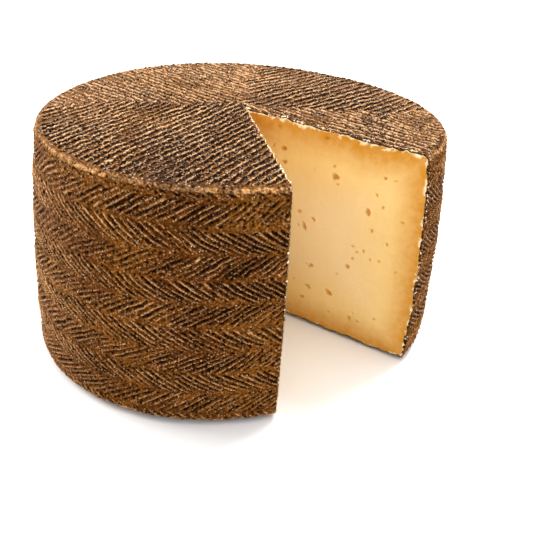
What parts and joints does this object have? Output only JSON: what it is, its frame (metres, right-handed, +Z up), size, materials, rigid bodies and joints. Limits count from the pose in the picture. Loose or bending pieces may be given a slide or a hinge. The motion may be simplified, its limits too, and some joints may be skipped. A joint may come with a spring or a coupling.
{
  "type": "manchego cheese wheel",
  "caption": "Drum-shaped pressed sheep's-milk cheese with a brown herringbone rind, ridged faces and a wedge cut out that shows pale yellow paste with small eyes",
  "frame": {"origin": "bottom centre of the bounding box, on the surface that the wheel stands on", "axes": "+Z up along the wheel's axis; the picture's near side faces -Y, and the notch opens towards +X and -Y"},
  "size_m": [0.2106, 0.206, 0.116],
  "materials": {
    "rind": "matte, waxy, brown with darker grooves",
    "paste": "satin, ivory yellow, golden towards the rind"
  },
  "bodies": {
    "root": {"cheese": "rind"}
  },
  "joints": []
}
